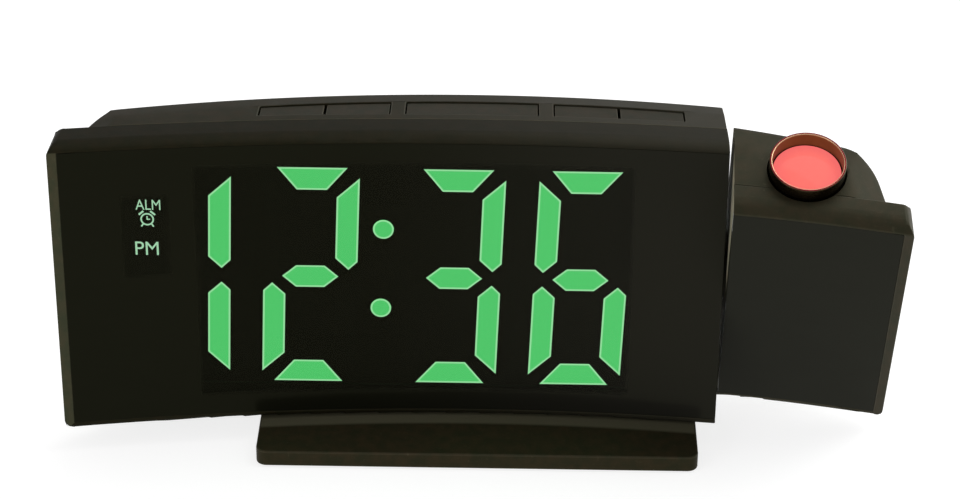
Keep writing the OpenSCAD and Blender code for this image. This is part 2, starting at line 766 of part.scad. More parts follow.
module dots(grow, depth) for (s = [-1, 1])
    translate([colon_x + s * dot_pitch / 2 * tan(slant), 0, digit_z + dot_rise + s * dot_pitch / 2])
        plug(dot_d / 2 + grow, face_d, face_d + depth);

module legends(grow, depth) for (i = [0 : 2])
    translate([legend_x - legend_w / 2 - grow, face_d, legend_zs[i] - legend_hs[i] / 2 - grow])
        cube([legend_w + 2 * grow, depth, legend_hs[i] + 2 * grow]);

module digit_block() color("#0d0d0d") standing() difference() {
    translate([block_left, face_d, block_z0]) cube([block_w, block_t, block_h]);
    translate([0, -eps, 0]) digit_segments(fitted, segment_t + eps);
    translate([0, -1, 0]) dots(0.05, segment_t + 1);
    translate([0, -1, 0]) legends(0, legend_t + 1);
}

module lit_segments() color("#58d06c") standing() digit_segments(lit, segment_t);

module dark_segments() color("#22241f") standing()
    digit_segments(fitted - lit, segment_t);

module colon_dots() color("#58d06c") standing() dots(0, segment_t);

module legend_windows() color("#2b3a2e") standing() legends(0, legend_t);

module display_board() color("#1f5a3a") standing() difference() {
    translate([board_left, board_d, board_z0]) cube([board_right - board_left, board_t, board_z1 - board_z0]);
    for (z = boss_z) {
        translate([left_screw_x, 0, z]) plug(screw_r + screw_clear, board_d - 1, board_back + 1);
        translate([board_screw_x, 0, z]) plug(small_screw_r + screw_clear, board_d - 1, board_back + 1);
    }
}

module display_board_screws() color("silver") standing() for (z = boss_z)
    countersunk_screw(board_screw_x, z, board_back, screw_tip + 0.5, 2 * small_screw_r, small_screw_r);

module control_chip() color("#1a1a1a") standing() {
    translate([0, board_back, chip_z]) cube([chip_side, 1.6, chip_side]);
    for (i = [0 : chip_side - 2], s = [0, 1])
        translate([s * chip_side - 1 + (s == 0 ? -1 : 1) * 0.99, board_back, chip_z + 0.8 + i])
            cube([2, 0.4, 0.5]);
}

module sounder() color("#111111") standing() difference() {
    translate([sounder_x, 0, sounder_z]) plug(sounder_r, board_back, board_back + sounder_h);
    translate([sounder_x, 0, sounder_z]) plug(1, board_back + sounder_h - 1, board_back + sounder_h + 1);
}

module lead_connector() color("white") standing()
    translate([board_right + connector_over - 4.5, board_back, pivot_z - 2]) cube([4.5, 3, 4]);

module button_board() color("#1f5a3a") standing() difference() {
    translate([button_xs[0] - button_w / 2, button_board_y, button_board_z])
        cube([button_xs[4] - button_xs[0] + button_w, button_board_d, button_board_t]);
    for (x = bridge_xs) translate([x, button_mid_d, button_board_z - 1])
        cylinder(r = small_screw_r + screw_clear, h = button_board_t + 2);
}

module button_board_screws() color("silver") standing()
    for (x = bridge_xs) translate([x, button_mid_d, button_board_z]) {
        translate([0, 0, -1]) cylinder(r = 2 * small_screw_r, h = 1);
        cylinder(r = small_screw_r, h = button_board_t + 3);
    }

function button_y(i) = (rear_y + sqrt(pow(button_back_r, 2) - pow(button_xs[i], 2))
    - front_r + sqrt(pow(front_r + button_d, 2) - pow(button_xs[i], 2))) / 2;

module switch_bodies() color("#222222") standing() for (i = [0 : 4])
    translate([button_xs[i], button_y(i), switch_bottom]) difference() {
        translate([-switch_w / 2, -switch_w / 2, 0]) cube([switch_w, switch_w, switch_h]);
        translate([0, 0, switch_h - plunger_h - button_travel])
            cylinder(r = plunger_r + shaft_clear, h = switch_h);
    }

module button_cap(i) {
    x0 = button_xs[i] - button_ws[i] / 2;
    x1 = button_xs[i] + button_ws[i] / 2;
    translate([0, 0, flange_bottom]) linear_extrude(height = housing_top + button_proud - flange_bottom)
        button_plan(x0, x1, 0, 0);
    translate([0, 0, flange_bottom]) linear_extrude(height = flange_t)
        button_plan(x0, x1, 0, flange_reach);
    translate([button_xs[i], button_y(i), plunger_top]) cylinder(r = stem_r, h = stem_h + flange_t);
}

module switch_plunger(i) translate([button_xs[i], button_y(i), plunger_top - 2 * plunger_h + seat_gap])
    cylinder(r = plunger_r, h = 2 * plunger_h - seat_gap);

module time_button() color("#3a372e") standing() button_cap(0);
module alarm_button() color("#3a372e") standing() button_cap(1);
module snooze_button() color("#3a372e") standing() button_cap(2);
module down_button() color("#3a372e") standing() button_cap(3);
module up_button() color("#3a372e") standing() button_cap(4);
module time_plunger() color("#101010") standing() switch_plunger(0);
module alarm_plunger() color("#101010") standing() switch_plunger(1);
module snooze_plunger() color("#101010") standing() switch_plunger(2);
module down_plunger() color("#101010") standing() switch_plunger(3);
module up_plunger() color("#101010") standing() switch_plunger(4);

// ---- battery and power ----

module coin_cell() color("#c8c8c0") standing() at_back(cell_a, cell_z) {
    plug(cell_r, cell_back + 0.4, cell_back + cell_t);
    plug(cell_r - 1, cell_back, cell_back + 0.4);
}

module cell_spring() color("#c9a227") standing() at_back(cell_a, cell_z) {
    translate([-3, pocket_floor, -7]) cube([6, 0.3, 14]);
    plug(1.5, pocket_floor + 0.3, cell_back);
}

module cell_side_contact() color("#c9a227") standing() at_back(cell_a, cell_z)
    translate([-3, pocket_floor, cell_r]) cube([6, cell_t + 0.6, 0.3]);

module battery_door() color("#332f27") standing() difference() {
    intersection() {
        rear_turn() translate([rear_r - wall, 0]) square([wall, reach]);
        door_prism(0, rear_r - 2 * wall, rear_r + 1);
    }
    at_back(cell_a, door_screw_z) {
        plug(small_screw_r + screw_clear, rear_r - 2 * wall, rear_r);
        plug(door_screw_head_r + screw_clear, rear_r - door_screw_head_h, rear_r + 1);
    }
    for (i = [-1 : 1]) at_back(cell_a, door_z + door_h / 2 - 5 + i * 1.6)
        translate([-4, rear_r - 0.5, -0.3]) cube([8, 2, 0.6]);
}

module battery_door_screw() color("silver") standing() at_back(cell_a, door_screw_z) difference() {
    union() {
        plug(small_screw_r, door_seat - door_screw_l + 1, rear_r - door_screw_head_h);
        plug(door_screw_head_r, rear_r - door_screw_head_h, rear_r - 0.1);
    }
    translate([-1.3, rear_r - 0.5, -0.25]) cube([2.6, 1, 0.5]);
    translate([-0.25, rear_r - 0.5, -1.3]) cube([0.5, 1, 2.6]);
}

module power_inlet() color("#141414") standing() difference() {
    translate([inlet_x - inlet_w / 2, inlet_front - inlet_l, housing_z + wall])
        cube([inlet_w, inlet_l, inlet_w]);
    translate([inlet_x, 0, inlet_z]) plug(inlet_bore_r, inlet_floor, inlet_front + 1);
}

module power_inlet_pin() color("silver") standing()
    translate([inlet_x, 0, inlet_z]) plug(inlet_pin_r, inlet_floor, inlet_front - 1);

// ---- stand ----

// Side outline of the stand, drawn in by the inset
module stand_side(inset) {
    y0 = inset - stand_reach;
    y1 = stand_back - inset;
    z1 = housing_z - inset;
    polygon([[y0, stand_lift], [y0, stand_lip - inset], [stand_crown[0], z1], [stand_crown[1], z1],
        [y1, stand_lip - inset], [y1, stand_lift]]);
}

// Plan of a stand layer, rounded at its corners and centred on the stand
module stand_plan(inset, r) {
    w = stand_w / 2 - inset;
    d = stand_d / 2 - inset;
    translate([0, stand_d / 2 - stand_reach]) {
        square([2 * w, 2 * (d - r)], center = true);
        square([2 * (w - r), 2 * d], center = true);
        for (x = [-1, 1], y = [-1, 1]) translate([x * (w - r), y * (d - r)]) circle(r);
    }
}

module stand_form(inset, drop) intersection() {
    translate([-stand_w, 0, -drop]) rotate([90, 0, 90]) linear_extrude(height = 2 * stand_w)
        stand_side(inset);
    linear_extrude(height = reach) stand_plan(inset, 2.6 - inset / 2);
}

module stand_base() color("#24211a") standing() difference() {
    union() {
        difference() {
            stand_form(0, 0);
            stand_form(wall, 0);
            translate([0, 0, -1]) linear_extrude(height = stand_lift + 1.5)
                stand_plan(wall, 2.6 - wall / 2);
        }
        intersection() {
            stand_form(wall / 2, 0);
            for (x = [-1, 1], y = [pad_inset - stand_reach + 2, stand_back - pad_inset])
                translate([x * (stand_w / 2 - pad_inset - 1), y, plate_top]) cylinder(r = post_r, h = housing_z);
        }
    }
    for (x = [-1, 1]) translate([x * stand_screw_x, stand_screw_y, 0])
        cylinder(r = screw_r + screw_clear, h = housing_z + 1);
}

module stand_plate() color("#1c1a15") standing() translate([0, 0, pad_t])
    linear_extrude(height = plate_t) stand_plan(wall + plate_clear, 1.5);

module stand_screws() color("silver") standing() for (x = [-1, 1])
    translate([x * stand_screw_x, stand_screw_y, housing_z - wall]) {
        translate([0, 0, -screw_head_h]) cylinder(r = screw_head_r, h = screw_head_h);
        cylinder(r = screw_r, h = wall + stand_boss_h - 0.5);
    }

module foot_pad() color("#17160f") standing() linear_extrude(height = pad_t)
    stand_plan(pad_inset, 3);

// ---- pivot ----

module pivot_bush() color("#d8d4c4") standing() difference() {
    union() {
        at_axis(clock_saddle) cylinder(r = bush_r, h = saddle_t);
        at_axis(clock_face) cylinder(r = pivot_flange_r, h = bush_flange_t);
        at_axis(clock_saddle - bush_flange_t) cylinder(r = pivot_flange_r, h = bush_flange_t);
    }
    at_axis(clock_saddle - bush_flange_t - 1)
        cylinder(r = shaft_r + shaft_clear, h = saddle_t + 2 * bush_flange_t + 2);
}

module pivot_shaft() color("#3a372e") standing() tilted() difference() {
    union() {
        at_axis(shaft_tip) cylinder(r = shaft_r, h = shaft_end - shaft_tip);
        at_axis(clock_face + bush_flange_t + seat_gap)
            cylinder(r = pivot_flange_r, h = cap_face - clock_face - bush_flange_t - seat_gap);
    }
    at_axis(shaft_tip - 1) cylinder(r = wire_way_r, h = shaft_end - shaft_tip + 2);
    at_axis(clip_x) ring(shaft_r - groove_depth, shaft_r + 1, washer_t);
}

module pivot_retainer() color("#3a372e") standing() tilted()
    at_axis(cap_face + wall) ring(shaft_r + 0.05, pivot_flange_r - 1, shaft_end - cap_face - wall);

module friction_washer() color("#b9b9b9") standing() tilted()
    at_axis(washer_x) ring(shaft_r + shaft_clear, pivot_flange_r - 1.2, washer_t);

module retaining_clip() color("#8f8f8f") standing() tilted() difference() {
    at_axis(clip_x) ring(shaft_r - groove_depth + 0.05, shaft_r + 2, washer_t);
    at_axis(clip_x - 1) translate([0, -shaft_r / 2, 0]) cube([3 * shaft_r, shaft_r, washer_t + 2]);
}

module pivot_lead() color("#8a1f1a") standing() {
    l = (seam_x + pivot_depth * sin(pivot_angle) - board_right - connector_over - lead_gap)
        / cos(pivot_angle);
    at_axis(-l) cylinder(r = lead_r, h = l);
}

module projector_lead() color("#8a1f1a") standing() tilted() {
    at_axis(0) cylinder(r = lead_r, h = lead_drop_x - lead_bend);
    at_pivot() translate([lead_drop_x - lead_bend, pivot_depth, pivot_z - lead_bend])
        rotate([90, 0, 0]) rotate_extrude(angle = 90) translate([lead_bend, 0]) circle(lead_r);
    at_pivot() translate([lead_drop_x, pivot_depth, lamp_top + 3])
        cylinder(r = lead_r, h = pivot_z - lead_bend - lamp_top - 3);
}

// ---- projector ----

module projector_front_frame() color("#2e2b24") standing() tilted() difference() {
    union() {
        difference() {
            intersection() {
                front_turn() frame_section(cap_frame_d);
                end_outline(outer_x, housing_z, housing_top, corner_r);
                cap_side(0);
            }
            intersection() {
                frame_cavity(cap_frame_d);
                cap_side(wall);
            }
            intersection() {
                front_slab(-1, window_t, window_z0, window_z1);
                translate([outer_x - rim_side - 3 * reach, -reach, 0]) cube([3 * reach, 2 * reach, reach]);
            }
        }
        for (s = cap_screws) at_cap_screw(s) intersection() {
            plug(cap_boss_r, ledge_d, cap_boss_d);
            translate([-reach, -reach, housing_z + wall / 2 - s[1]])
                cube([2 * reach, 2 * reach, housing_h - wall]);
        }
        intersection() {
            for (s = cap_screws) at_cap_screw(s) translate([-boss_r / 2, 0,
                s[1] > pivot_z ? 0 : housing_z + wall / 2 - s[1]])
                cube([boss_r, reach, s[1] > pivot_z ? housing_top - wall / 2 - s[1] : s[1] - housing_z - wall / 2]);
            front_slab(ledge_d, cap_frame_d, housing_z, housing_top);
        }
    }
    at_lens(ring_shoulder - 1) cylinder(r = ring_r + seat_gap, h = reach);
    for (s = cap_screws) at_cap_screw(s)
        plug(screw_r + screw_clear / 2, screw_tip, cap_boss_d + 1);
}

module projector_panel() color("#1f1f1c") standing() tilted() intersection() {
    front_slab(0, window_t, window_z0, window_z1);
    translate([outer_x - rim_side - 3 * reach, -reach, 0]) cube([3 * reach, 2 * reach, reach]);
    cap_side(0);
}

module projector_rear_housing() color("#332f27") standing() tilted() difference() {
    union() {
        difference() {
            intersection() {
                rear_form(0);
                cap_side(0);
            }
            intersection() {
                rear_form(wall);
                cap_side(wall);
            }
        }
        intersection() {
            rear_form(wall / 2);
            cap_side(wall / 2);
            union() {
                for (s = cap_screws) at_cap_screw(s)
                    plug(cap_boss_r + 0.4, cap_boss_d, housing_d);
                for (p = lamp_posts) at_pivot() translate([p[0], p[1], housing_z])
                    cylinder(r = post_r, h = lamp_board_z - housing_z);
                for (z = [slide_z, guide_bottom]) at_pivot()
                    translate([lens_x - tube_r - 1, lens_y + 2, z])
                        cube([2 * tube_r + 2, housing_d, wall]);
            }
        }
    }
    before(cap_frame_d);
    at_axis(0) cylinder(r = shaft_r + screw_clear, h = 4 * wall);
    at_lens(ring_shoulder - 1) cylinder(r = ring_r + seat_gap, h = reach);
    at_lens(lamp_top) cylinder(r = tube_r + screw_clear, h = guide_top + 1 - lamp_top);
    for (s = cap_screws) at_cap_screw(s) {
        plug(screw_r + screw_clear, cap_boss_d - 1, housing_d);
        plug(screw_head_r + 2 * screw_clear, cap_seat, housing_d);
    }
}

module projector_screws() color("silver") standing() tilted()
    for (s = cap_screws) at_cap_screw(s)
        countersunk_screw(0, 0, cap_seat, screw_tip + 0.5, screw_head_r, screw_r);

module optics_tube() color("#191919") standing() tilted() difference() {
    at_lens(lamp_top) cylinder(r = tube_r, h = guide_top - lamp_top);
    at_lens(lamp_top - 1) cylinder(r = lower_bore, h = stop_z - lamp_top + 1);
    at_lens(lamp_top) cylinder(r = stop_r, h = slide_z - lamp_top + 1);
    at_lens(slide_z) cylinder(r = upper_bore, h = guide_bottom - slide_z);
    at_lens(guide_bottom - 1) cylinder(r = spigot_r + optic_clear, h = guide_top - guide_bottom + 2);
    at_lens(cell_bottom - focus_travel - seat_gap) translate([-tube_r - 1, -lug_w / 2 - seat_gap, 0])
        cube([2 * tube_r + 2, lug_w + 2 * seat_gap, lug_h + 2 * focus_travel + 2 * seat_gap]);
}

module lamp_board() color("#1f5a3a") standing() tilted() at_pivot()
    translate([cap_face + wall + 0.4, 5, lamp_board_z]) cube([lamp_board_l, lamp_board_d, board_t]);

module lamp_connector() color("white") standing() tilted() at_pivot()
    translate([lead_drop_x - 1.9, pivot_depth - 2, lamp_top]) cube([2.8, 4, 3]);

module projection_lamp() color("#e8e4dc") standing() tilted() {
    at_lens(lamp_top) cylinder(r = 2.9, h = 1);
    at_lens(lamp_top + 1) cylinder(r = 2.5, h = 2.5);
    at_lens(lamp_top + 3.5) intersection() {
        sphere(r = 2.5);
        translate([-3, -3, -eps]) cube([6, 6, 3]);
    }
}

// Plano-convex lens: a disc of edge thickness t with a dome of height rise on its upper side
module lens(r, t, rise) {
    dome_r = (r * r + rise * rise) / (2 * rise);
    rotate_extrude() intersection() {
        translate([0, t + rise - dome_r]) circle(dome_r, $fn = arc_fn);
        square([r, t + rise]);
    }
}

module condenser_lens() color("lightcyan") standing() tilted()
    at_lens(stop_z) mirror([0, 0, 1]) lens(condenser_r, 2.5, 3);

module image_slide() color("#777777") standing() tilted()
    at_lens(slide_z) translate([-slide_w / 2, -slide_w / 2, 0]) cube([slide_w, slide_w, slide_t]);

module focus_ring() color("#2a1c16") standing() tilted() at_lens(0) difference() {
    union() {
        translate([0, 0, ring_shoulder]) cylinder(r = ring_r, h = ring_top - ring_shoulder);
        translate([0, 0, ring_bottom]) cylinder(r = spigot_r, h = ring_shoulder - ring_bottom + eps);
        translate([0, 0, ring_bottom]) cylinder(r = ring_lip_r, h = lip_t);
    }
    translate([0, 0, ring_floor]) cylinder(r = ring_r - ring_wall, h = ring_top);
    translate([0, 0, ring_bottom - 1]) cylinder(r = spigot_bore, h = ring_top);
}

module lens_cell() color("#151515") standing() tilted() at_lens(0) difference() {
    union() {
        translate([0, 0, cell_bottom]) cylinder(r = cell_out_r, h = lens_z - cell_bottom);
        translate([0, 0, lens_z - 0.5]) cylinder(r = lens_r, h = 0.5);
        translate([-lug_r, -lug_w / 2, cell_bottom]) cube([2 * lug_r, lug_w, lug_h]);
    }
    translate([0, 0, cell_bottom - 1]) cylinder(r = cell_in_r, h = lens_z);
}

module projection_lens() color("#fc766e") standing() tilted() at_lens(lens_z)
    lens(lens_r, lens_edge, dome_h);

front_frame();
display_window();
rear_housing();
housing_screws();
digit_block();
lit_segments();
dark_segments();
colon_dots();
legend_windows();
display_board();
display_board_screws();
control_chip();
sounder();
lead_connector();
button_board();
button_board_screws();
switch_bodies();
pivot_bush();
pivot_lead();
power_inlet();
power_inlet_pin();
coin_cell();
cell_spring();
cell_side_contact();
stand_base();
stand_plate();
stand_screws();
foot_pad();
time_button();
alarm_button();
snooze_button();
down_button();
up_button();
time_plunger();
alarm_plunger();
snooze_plunger();
down_plunger();
up_plunger();
battery_door();
battery_door_screw();
projector_front_frame();
projector_panel();
projector_rear_housing();
projector_screws();
pivot_shaft();
pivot_retainer();
friction_washer();
retaining_clip();
optics_tube();
lamp_board();
lamp_connector();
projection_lamp();
condenser_lens();
image_slide();
projector_lead();
focus_ring();
lens_cell();
projection_lens();
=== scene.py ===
import json
import math

import bmesh
import bpy
from mathutils import Matrix, Vector
from mathutils.bvhtree import BVHTree

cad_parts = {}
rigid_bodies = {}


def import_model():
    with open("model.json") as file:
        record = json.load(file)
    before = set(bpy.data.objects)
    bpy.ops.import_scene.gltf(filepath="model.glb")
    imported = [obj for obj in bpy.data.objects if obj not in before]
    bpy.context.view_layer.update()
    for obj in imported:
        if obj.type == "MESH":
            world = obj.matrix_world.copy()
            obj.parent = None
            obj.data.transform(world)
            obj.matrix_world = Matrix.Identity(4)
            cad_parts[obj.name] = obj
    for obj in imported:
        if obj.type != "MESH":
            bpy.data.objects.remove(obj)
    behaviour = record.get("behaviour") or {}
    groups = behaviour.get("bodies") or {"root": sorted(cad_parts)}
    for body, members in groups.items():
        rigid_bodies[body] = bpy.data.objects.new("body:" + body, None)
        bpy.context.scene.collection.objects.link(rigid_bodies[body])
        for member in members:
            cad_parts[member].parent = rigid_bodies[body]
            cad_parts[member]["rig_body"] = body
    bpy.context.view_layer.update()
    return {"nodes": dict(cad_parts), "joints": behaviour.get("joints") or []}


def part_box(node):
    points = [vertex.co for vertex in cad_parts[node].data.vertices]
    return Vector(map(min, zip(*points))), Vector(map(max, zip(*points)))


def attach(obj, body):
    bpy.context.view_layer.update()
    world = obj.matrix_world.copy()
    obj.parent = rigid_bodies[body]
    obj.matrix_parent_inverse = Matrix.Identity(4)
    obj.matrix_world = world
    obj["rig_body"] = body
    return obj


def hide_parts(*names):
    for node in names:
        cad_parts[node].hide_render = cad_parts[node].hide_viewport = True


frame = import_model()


# The view: a long lens a little above the clock, square to its middle. The clock stands over the
# origin with its display facing -Y. Lengths are in metres, angles in degrees.
render_w, render_h = 960, 499
sensor_w = 36
aim = Vector((0.0132, -0.0071, 0.06234))
distance, elevation, azimuth, roll = 0.57415, 24.93, -0.65, 1.18
focal_px, centre_px_x, centre_px_y = 2461.02, 537.07, 206.65
turned, raised, rolled = math.radians(azimuth), math.radians(elevation), math.radians(roll)
level = Vector((math.cos(turned), math.sin(turned), 0))
back = Vector((math.sin(turned) * math.cos(raised), -math.cos(turned) * math.cos(raised),
               math.sin(raised)))
upward = back.cross(level)
across = math.cos(rolled) * level + math.sin(rolled) * upward
along = math.cos(rolled) * upward - math.sin(rolled) * level
lens_data = bpy.data.cameras.new("view")
lens_data.sensor_width = sensor_w
lens_data.lens = focal_px * sensor_w / render_w
lens_data.shift_x = (render_w / 2 - centre_px_x) / render_w
lens_data.shift_y = (centre_px_y - render_h / 2) / render_w
lens_data.clip_start, lens_data.clip_end = 0.01, 50
camera = bpy.data.objects.new("view", lens_data)
bpy.context.scene.collection.objects.link(camera)
facing = Matrix((across, along, back)).transposed().to_4x4()
camera.matrix_world = Matrix.Translation(aim + distance * back) @ facing
bpy.context.scene.camera = camera
bpy.context.scene.view_settings.view_transform = "Standard"


# Front frame and rear housing: two ABS mouldings in a warm black, screwed together. The tool is
# spark eroded, so the plastic has a fine satin grain, which wear has smoothed on its arrises.
class Wire:
    """An output of one of a finish's nodes. A sum on wires adds the Math nodes for it."""

    def __init__(self, finish, socket):
        self.finish, self.socket = finish, socket

    def worked(self, operation, first, second):
        return self.finish.node("ShaderNodeMath", {"operation": operation}, {0: first, 1: second})

    def __add__(self, other):
        return self.worked("ADD", self, other)

    def __sub__(self, other):
        return self.worked("SUBTRACT", self, other)

    def __rsub__(self, other):
        return self.worked("SUBTRACT", other, self)

    def __mul__(self, other):
        return self.worked("MULTIPLY", self, other)

    def __gt__(self, other):
        return self.worked("GREATER_THAN", self, other)

    __radd__, __rmul__ = __add__, __mul__


class Finish:
    """A surface finish: constants on its shader, and nodes for what varies over the piece."""

    def __init__(self, name, constants):
        self.material = bpy.data.materials.new(name)
        self.material.use_nodes = True
        self.tree = self.material.node_tree
        self.shader = self.tree.nodes["Principled BSDF"]
        for socket, value in constants.items():
            self.shader.inputs[socket].default_value = value
        self.place = self.node("ShaderNodeTexCoord", {}, {}, "Object")

    def node(self, kind, settings, sockets, out=0):
        made = self.tree.nodes.new(kind)
        for name, value in settings.items():
            setattr(made, name, value)
        for key, value in sockets.items():
            if isinstance(value, Wire):
                self.tree.links.new(value.socket, made.inputs[key])
            else:
                made.inputs[key].default_value = value
        return Wire(self, made.outputs[out])

    def feed(self, socket, wire):
        self.tree.links.new(wire.socket, self.shader.inputs[socket])

    def noise(self, size, detail=2, stretch=(1, 1, 1)):
        """Noise whose lumps are about size across, in metres."""
        where = self.vector("MULTIPLY", self.place, stretch)
        return self.node("ShaderNodeTexNoise", {},
                         {"Vector": where, "Scale": 1 / size, "Detail": detail})

    def vector(self, operation, first, second, out=0):
        return self.node("ShaderNodeVectorMath", {"operation": operation}, {0: first, 1: second}, out)

    def coordinate(self, letter):
        return self.node("ShaderNodeSeparateXYZ", {}, {0: self.place}, letter)

    def mixed(self, amount, first, second):
        """Two colours mixed. Each is a wire, or its red, green and blue."""
        first, second = [c if isinstance(c, Wire) else (*c, 1) for c in (first, second)]
        return self.node("ShaderNodeMix", {"data_type": "RGBA"}, {0: amount, 6: first, 7: second}, 2)

    def spread(self, wire, low, high, interpolation="LINEAR"):
        """0 where the wire is at low, 1 at high, and between them in between."""
        return self.node("ShaderNodeMapRange", {"interpolation_type": interpolation},
                         {"Value": wire, "From Min": low, "From Max": high})

    def between(self, wire, low, high, edge=0.0012):
        """1 between low and high, and 0 once an edge's width outside them."""
        return self.spread(wire, low - edge, low) * self.spread(wire, high + edge, high)

    def relief(self, height, depth):
        self.feed("Normal", self.node("ShaderNodeBump", {}, {"Height": height, "Distance": depth}))


def tinted(colour, *factors):
    """The colour times one factor, or times three for its red, green and blue."""
    return tuple(min(1, part * factor) for part, factor in zip(colour, factors * 3))


def painted_light_gradient(finish):
    """Painted light, for the light that falls on the projector end: none at the clock's middle, full at
    that end.
    """
    return finish.spread(finish.coordinate("X"), -0.035, 0.050, "SMOOTHSTEP")


front_r, front_y = 0.5, -0.0071
front_centre = (0, front_y - front_r, 0)
# Where the painted highlight on the stand's top starts and is full, as distances from the centre of the
# front's bend, and the colours of the painted light at the projector end and of that highlight.
highlight_band_start, highlight_band_full = front_r - 0.0036, front_r - 0.0026
painted_end_light_colour, highlight_band_colour = (0.030, 0.028, 0.022), (0.090, 0.085, 0.055)


def moulded_plastic(name, colour, flow_colour, roughness, grain, relief, shine,
                    warmth=0.6, film=0, flecks=0.3, painted_highlight_band=0):
    """Textured plastic with flow clouds in its colour, handled patches and pale scuffs.

    A painted light pales it toward the projector end, and a painted highlight pales what lies behind the
    curve of the clock's front.
    """
    plastic = Finish(name, {"Specular IOR Level": shine, "Specular Tint": (1, 0.97, warmth, 1)})
    texture = plastic.noise(grain, 3)
    flow = plastic.noise(0.021, 4, (1, 1, 1.6))
    handled = plastic.noise(0.006, 5)
    scuffed = (plastic.noise(0.0011, 6, (1, 1, 0.35)) > 0.69) * (handled > 0.55)
    clouds = plastic.spread(plastic.noise(0.0026, 5), 0.36, 0.64)
    specks = plastic.spread(plastic.noise(0.0007, 3), 0.60, 0.75)
    pale = tinted(colour, 2.4)
    shade = plastic.mixed(clouds, tinted(colour, 0.86, 0.96, 0.86), tinted(colour, 1.36, 1.14, 1.04))
    shade = plastic.mixed(flow * 0.4, shade, flow_colour)
    shade = plastic.mixed(specks * flecks, shade, pale)
    # Painted light: the colour pales toward the projector end, where the light falls.
    if film:
        shade = plastic.mixed(painted_light_gradient(plastic) * film, shade, painted_end_light_colour)
    # Painted highlight: paler from a little in front of the curve of the clock's front to behind it.
    if painted_highlight_band:
        flat = plastic.vector("MULTIPLY", plastic.place, (1, 1, 0))
        bend = plastic.vector("DISTANCE", flat, front_centre, "Value")
        shade = plastic.mixed(plastic.spread(bend, highlight_band_start, highlight_band_full) * painted_highlight_band, shade, highlight_band_colour)
    plastic.feed("Base Color", plastic.mixed(scuffed * 0.45, shade, pale))
    plastic.feed("Roughness", texture * 0.16 + handled * 0.14 + (roughness - 0.15))
    plastic.relief(texture + handled * 0.35, relief)
    return plastic.material


def deselected():
    if bpy.context.mode != "OBJECT":
        bpy.ops.object.mode_set(mode="OBJECT")
    bpy.ops.object.select_all(action="DESELECT")


def chosen(piece):
    deselected()
    bpy.context.view_layer.objects.active = piece
    piece.select_set(True)


weld = 2e-6
flat_enough = math.radians(0.2)
sharp = math.radians(40)


def merged_copy(node, name, whole_faces=True):
    """A copy of a node's mesh with its loose triangles joined, and if none has holes, whole faces."""
    piece = bpy.data.objects.new(name, frame["nodes"][node].data.copy())
    bpy.context.scene.collection.objects.link(piece)
    piece.data.materials.clear()
    chosen(piece)
    if piece.data.has_custom_normals:
        bpy.ops.mesh.customdata_custom_splitnormals_clear()
    bpy.ops.object.mode_set(mode="EDIT")
    bpy.ops.mesh.select_all(action="SELECT")
    bpy.ops.mesh.remove_doubles(threshold=weld)
    if whole_faces:
        bpy.ops.mesh.dissolve_limited(angle_limit=flat_enough)
    bpy.ops.object.mode_set(mode="OBJECT")
    return piece


def rounded(piece, rounding, steps):
    """Bevels the arrises in the last of the piece's finishes. Stray points go back to its form."""
    form = BVHTree.FromObject(piece, bpy.context.evaluated_depsgraph_get())
    bevel = piece.modifiers.new("arrises", "BEVEL")
    bevel.width, bevel.segments = rounding, steps
    bevel.limit_method, bevel.angle_limit = "ANGLE", sharp
    bevel.use_clamp_overlap = False
    bevel.material = len(piece.data.materials) - 1
    bpy.ops.object.modifier_apply(modifier="arrises")
    for point in piece.data.vertices:
        nearest, _, _, away = form.find_nearest(point.co)
        if away > rounding:
            point.co = nearest


def softened(node, name, rounding, finishes, steps=2, whole_faces=True):
    """The node's shape with rounded arrises, the arris strips in the last finish, and smooth curves."""
    piece = merged_copy(node, name, whole_faces)
    for finish in finishes:
        piece.data.materials.append(finish)
    if rounding:
        rounded(piece, rounding, steps)
    chosen(piece)
    bpy.ops.object.shade_smooth_by_angle(angle=sharp)
    weighted = piece.modifiers.new("weighted", "WEIGHTED_NORMAL")
    weighted.keep_sharp = True
    weighted.weight = 90
    bpy.ops.object.modifier_apply(modifier="weighted")
    deselected()
    return piece


def stands_for(piece, node):
    """The piece rides where its CAD node rides, and stands for it."""
    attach(piece, frame["nodes"][node]["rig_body"])
    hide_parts(node)


def dressed(node, name, slot, rounding, finishes, **how):
    """Makes a softened copy of a node that stands for it."""
    stands_for(softened(node, name, rounding, finishes, **how), node)


# The housing's and the frame's finishes are painted paler toward the projector end: painted light for
# the light falling from that side.
shell_finish = moulded_plastic("satin_black", (0.0125, 0.0112, 0.0066), (0.0150, 0.0132, 0.0082),
                               roughness=0.50, grain=0.00022, relief=0.000022, shine=0.12, film=0.75)
# The arris finishes are paler: partly real rubbing, partly a painted highlight along the edges.
shell_arris = moulded_plastic("satin_black_rubbed_and_painted_highlight", (0.023, 0.0215, 0.0145), (0.027, 0.0245, 0.0170),
                              roughness=0.40, grain=0.00030, relief=0.000008, shine=0.20)
frame_finish = moulded_plastic("frame_black", (0.0075, 0.0070, 0.0036), (0.0090, 0.0080, 0.0044),
                               roughness=0.46, grain=0.00022, relief=0.000016, shine=0.06, film=0.38)
# Paler arrises: partly rubbed, partly a painted highlight.
frame_arris = moulded_plastic("frame_black_rubbed_and_painted_highlight", (0.0095, 0.0090, 0.0052),
                              (0.0115, 0.0105, 0.0062),
                              roughness=0.42, grain=0.00030, relief=0.000008, shine=0.08, film=0.4)
# The front's rim left of the window is painted paler: painted light from the left falling on it.
rim_painted_light = moulded_plastic("outer_rim_painted_light", (0.034, 0.036, 0.022), (0.040, 0.041, 0.026),
                             roughness=0.5, grain=0.00022, relief=0.000016, shine=0.1)
shell_rounding = 0.00025
front = softened("front_frame", "front_frame_moulding", shell_rounding, [frame_finish, frame_arris],
                 whole_faces=False)
front.data.materials.append(rim_painted_light)
